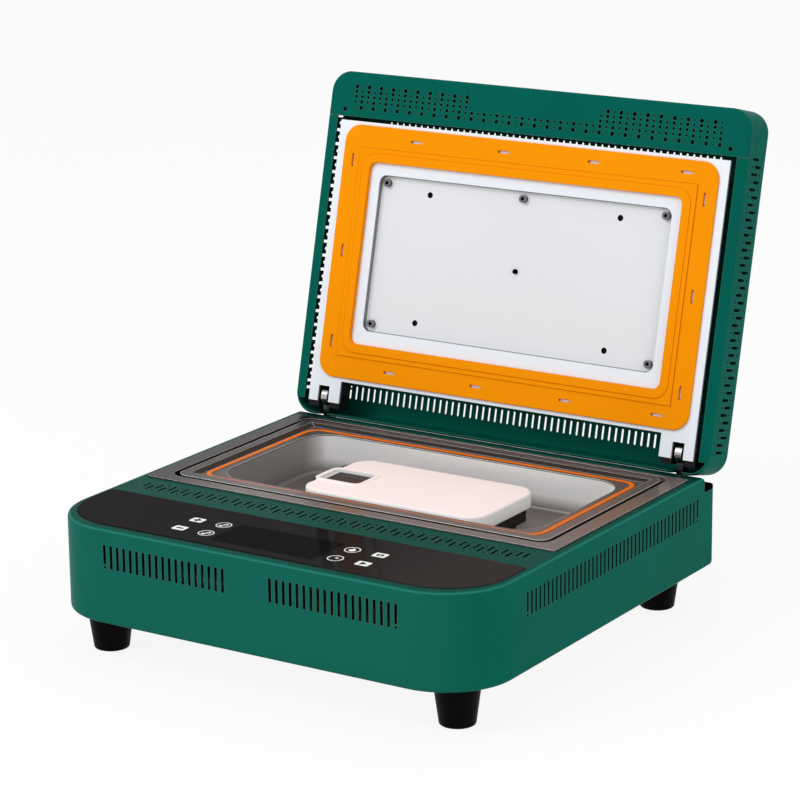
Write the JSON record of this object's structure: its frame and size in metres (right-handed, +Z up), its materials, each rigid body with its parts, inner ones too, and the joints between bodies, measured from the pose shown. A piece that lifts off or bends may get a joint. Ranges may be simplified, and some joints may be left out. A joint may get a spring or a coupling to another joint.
{
  "type": "benchtop vacuum sublimation press",
  "caption": "Benchtop vacuum sublimation press for phone cases: a vented base with a steel vacuum chamber and touch panel, and a hinged lid with a heated plate and silicone seal.",
  "frame": {"origin": "bottom centre of the whole machine's bounding box with the lid open, on the table under the feet", "axes": "+X to the right as seen by the user, +Y to the back, +Z up; the control panel faces the user at -Y"},
  "size_m": [0.355, 0.4062, 0.3534],
  "materials": {
    "green_paint": "powder coated, satin",
    "black_rubber": "matte",
    "fastener_steel": "plated",
    "galvanised_sheet": "plain",
    "black_sheet": "black powder coat",
    "panel_glass": "back-printed, glossy",
    "display_dark": "glossy",
    "board_green": "lacquered board",
    "nylon_white": "moulded",
    "stainless": "drawn and polished",
    "heat_break": "matte",
    "orange_silicone": "smooth, slightly glossy",
    "mould_metal": "dark anodised",
    "case_white": "satin, coated for sublimation",
    "motor_can": "plated",
    "black_plastic": "fine texture",
    "hose_clear": "translucent",
    "brass_fitting": "machined",
    "board_tan": "laminate",
    "aluminium_fins": "extruded",
    "rocker_red": "glossy",
    "chrome_arm": "polished",
    "white_plate": "off-white, satin",
    "cast_aluminium": "cast",
    "element_sheath": "oxidised",
    "mineral_wool": "needled felt",
    "ceramic": "glazed",
    "pin_steel": "ground"
  },
  "bodies": {
    "base": {"base_shell": "green_paint", "bottom_plate": "galvanised_sheet", "bottom_screws": "fastener_steel", "feet": "black_rubber", "foot_screws": "fastener_steel", "hinge_trough": "black_sheet", "panel_glass": "panel_glass", "display_module": "display_dark", "control_board": "board_green", "board_spacers": "nylon_white", "touch_pads": "fastener_steel", "tray_frame": "stainless", "vacuum_chamber": "stainless", "chamber_gasket": "heat_break", "chamber_seal": "orange_silicone", "mould_base": "mould_metal", "mould_halves": "mould_metal", "phone_case": "case_white", "pump_motor": "motor_can", "pump_head": "black_plastic", "pump_bracket": "galvanised_sheet", "vacuum_hose": "hose_clear", "vacuum_port": "brass_fitting", "release_valve": "black_plastic", "power_board": "board_tan", "power_heatsink": "aluminium_fins", "mains_inlet": "black_plastic", "switch_frame": "black_plastic", "fan_frame": "black_plastic", "hinge_arm_left": "chrome_arm", "hinge_arm_right": "chrome_arm", "hinge_bracket_left": "galvanised_sheet", "hinge_bracket_right": "galvanised_sheet"},
    "lid": {"lid_shell": "green_paint", "lid_cover": "green_paint", "cover_screws": "black_sheet", "lid_plate": "white_plate", "plate_bolts": "fastener_steel", "lid_gasket": "orange_silicone", "heater_block": "cast_aluminium", "heating_element": "element_sheath", "insulation_pad": "mineral_wool", "heater_clamps": "galvanised_sheet", "thermal_cutout": "ceramic", "temperature_probe": "fastener_steel", "hinge_block_left": "black_plastic", "hinge_block_right": "black_plastic", "hinge_pin_left": "pin_steel", "hinge_pin_right": "pin_steel", "lid_standoffs": "fastener_steel"},
    "rocker": {"switch_rocker": "rocker_red"},
    "fan": {"fan_rotor": "black_plastic"}
  },
  "joints": [
    {"name": "lid_hinge", "type": "hinge", "parent": "base", "child": "lid", "pos_m": [0, 0.12038, 0.1115], "axis": [1, 0, 0], "range_deg": [0, 103.8]},
    {"name": "power_rocker", "type": "hinge", "parent": "base", "child": "rocker", "pos_m": [0.062, 0.12648, 0.06], "axis": [1, 0, 0], "range_deg": [-16, 0]},
    {"name": "fan_spin", "type": "hinge", "parent": "base", "child": "fan", "pos_m": [-0.088, 0.12018, 0.0602], "axis": [0, 1, 0], "continuous": true}
  ]
}
